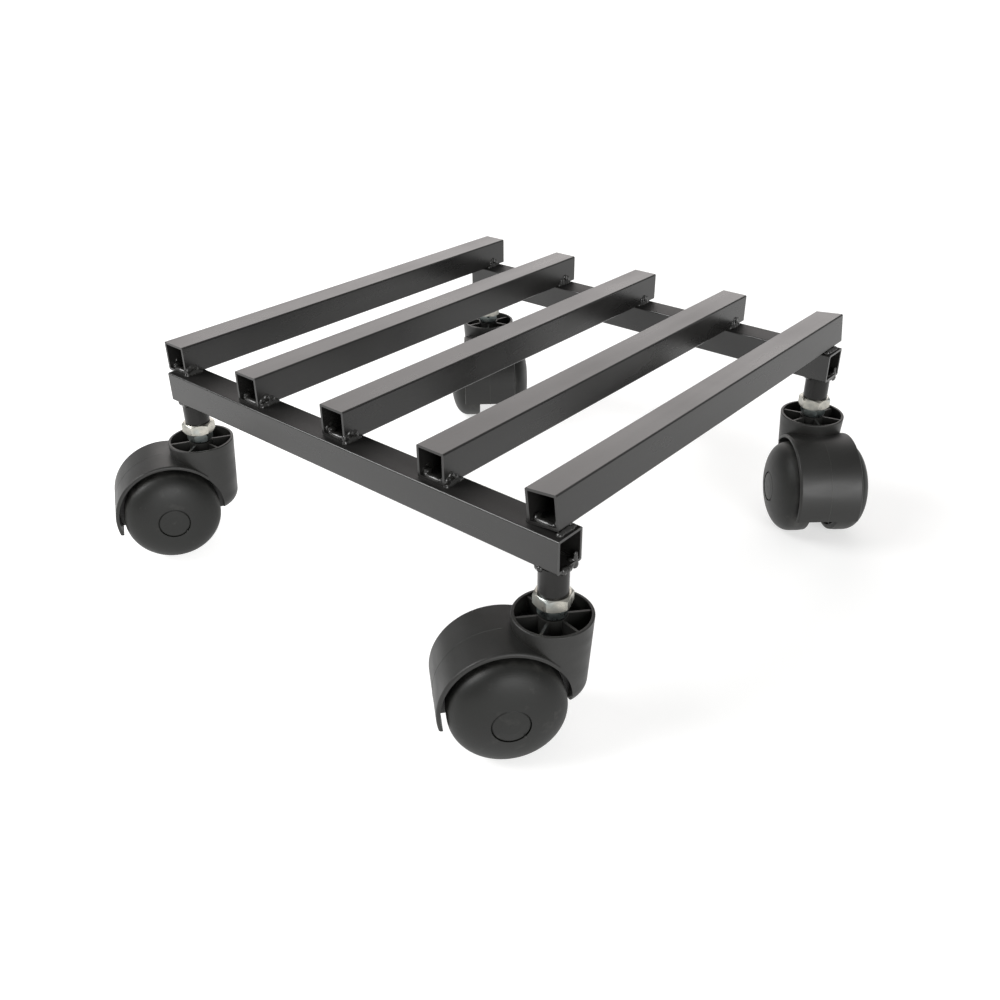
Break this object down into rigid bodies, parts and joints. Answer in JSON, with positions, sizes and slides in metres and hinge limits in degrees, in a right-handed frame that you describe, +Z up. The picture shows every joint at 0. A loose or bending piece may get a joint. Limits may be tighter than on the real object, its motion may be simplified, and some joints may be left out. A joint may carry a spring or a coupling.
{
  "type": "plant pot caddy",
  "caption": "Low slatted deck of welded square steel tube on swivelling twin-wheel casters, for rolling a heavy plant pot about.",
  "frame": {"origin": "centre of the overall box on the floor plane under the wheels", "axes": "+Z up; +X along the two rails toward their right ends; +Y along the slats, from the front rail toward the back rail"},
  "size_m": [0.3502, 0.33, 0.1243],
  "materials": {
    "axle_steel": "plain drawn steel",
    "black_paint": "satin black paint on steel tube",
    "cap_plastic": "smooth black moulded nylon",
    "hood_plastic": "matt black moulded nylon",
    "weld_paint": "gloss black paint over weld beads",
    "wheel_plastic": "smooth black moulded nylon",
    "zinc": "bright zinc plate"
  },
  "bodies": {
    "deck": {"back_deck_welds": "weld_paint", "back_rail": "black_paint", "back_stub_welds": "weld_paint", "caster_1_lock_nut": "zinc", "caster_1_stem": "zinc", "caster_1_stub": "black_paint", "caster_2_lock_nut": "zinc", "caster_2_stem": "zinc", "caster_2_stub": "black_paint", "caster_3_lock_nut": "zinc", "caster_3_stem": "zinc", "caster_3_stub": "black_paint", "caster_4_lock_nut": "zinc", "caster_4_stem": "zinc", "caster_4_stub": "black_paint", "front_deck_welds": "weld_paint", "front_rail": "black_paint", "front_stub_welds": "weld_paint", "slat_1": "black_paint", "slat_2": "black_paint", "slat_3": "black_paint", "slat_4": "black_paint", "slat_5": "black_paint"},
    "caster_1_fork": {"caster_1_hood": "hood_plastic", "caster_1_axle": "axle_steel", "caster_1_axle_clips": "axle_steel"},
    "caster_1_roller_a": {"caster_1_wheel_a": "wheel_plastic", "caster_1_hub_cap_a": "cap_plastic"},
    "caster_1_roller_b": {"caster_1_wheel_b": "wheel_plastic", "caster_1_hub_cap_b": "cap_plastic"},
    "caster_2_fork": {"caster_2_hood": "hood_plastic", "caster_2_axle": "axle_steel", "caster_2_axle_clips": "axle_steel"},
    "caster_2_roller_a": {"caster_2_wheel_a": "wheel_plastic", "caster_2_hub_cap_a": "cap_plastic"},
    "caster_2_roller_b": {"caster_2_wheel_b": "wheel_plastic", "caster_2_hub_cap_b": "cap_plastic"},
    "caster_3_fork": {"caster_3_hood": "hood_plastic", "caster_3_axle": "axle_steel", "caster_3_axle_clips": "axle_steel"},
    "caster_3_roller_a": {"caster_3_wheel_a": "wheel_plastic", "caster_3_hub_cap_a": "cap_plastic"},
    "caster_3_roller_b": {"caster_3_wheel_b": "wheel_plastic", "caster_3_hub_cap_b": "cap_plastic"},
    "caster_4_fork": {"caster_4_hood": "hood_plastic", "caster_4_axle": "axle_steel", "caster_4_axle_clips": "axle_steel"},
    "caster_4_roller_a": {"caster_4_wheel_a": "wheel_plastic", "caster_4_hub_cap_a": "cap_plastic"},
    "caster_4_roller_b": {"caster_4_wheel_b": "wheel_plastic", "caster_4_hub_cap_b": "cap_plastic"}
  },
  "joints": [
    {"name": "caster_1_swivel", "type": "hinge", "parent": "deck", "child": "caster_1_fork", "pos_m": [-0.13205, -0.10962, 0.0536], "axis": [0, 0, 1], "continuous": true},
    {"name": "caster_1_spin_a", "type": "hinge", "parent": "caster_1_fork", "child": "caster_1_roller_a", "pos_m": [-0.1434, -0.12928, 0.0268], "axis": [0.866, -0.5, 0], "continuous": true},
    {"name": "caster_1_spin_b", "type": "hinge", "parent": "caster_1_fork", "child": "caster_1_roller_b", "pos_m": [-0.1434, -0.12928, 0.0268], "axis": [0.866, -0.5, 0], "continuous": true},
    {"name": "caster_2_swivel", "type": "hinge", "parent": "deck", "child": "caster_2_fork", "pos_m": [0.12765, -0.11142, 0.0536], "axis": [0, 0, 1], "continuous": true},
    {"name": "caster_2_spin_a", "type": "hinge", "parent": "caster_2_fork", "child": "caster_2_roller_a", "pos_m": [0.11276, -0.12855, 0.0268], "axis": [0.7547, -0.6561, 0], "continuous": true},
    {"name": "caster_2_spin_b", "type": "hinge", "parent": "caster_2_fork", "child": "caster_2_roller_b", "pos_m": [0.11276, -0.12855, 0.0268], "axis": [0.7547, -0.6561, 0], "continuous": true},
    {"name": "caster_3_swivel", "type": "hinge", "parent": "deck", "child": "caster_3_fork", "pos_m": [0.12605, 0.14658, 0.0536], "axis": [0, 0, 1], "continuous": true},
    {"name": "caster_3_spin_a", "type": "hinge", "parent": "caster_3_fork", "child": "caster_3_roller_a", "pos_m": [0.14124, 0.12971, 0.0268], "axis": [0.7431, 0.6691, 0], "continuous": true},
    {"name": "caster_3_spin_b", "type": "hinge", "parent": "caster_3_fork", "child": "caster_3_roller_b", "pos_m": [0.14124, 0.12971, 0.0268], "axis": [0.7431, 0.6691, 0], "continuous": true},
    {"name": "caster_4_swivel", "type": "hinge", "parent": "deck", "child": "caster_4_fork", "pos_m": [-0.13175, 0.14498, 0.0536], "axis": [0, 0, 1], "continuous": true},
    {"name": "caster_4_spin_a", "type": "hinge", "parent": "caster_4_fork", "child": "caster_4_roller_a", "pos_m": [-0.11656, 0.12811, 0.0268], "axis": [0.7431, 0.6691, 0], "continuous": true},
    {"name": "caster_4_spin_b", "type": "hinge", "parent": "caster_4_fork", "child": "caster_4_roller_b", "pos_m": [-0.11656, 0.12811, 0.0268], "axis": [0.7431, 0.6691, 0], "continuous": true}
  ]
}
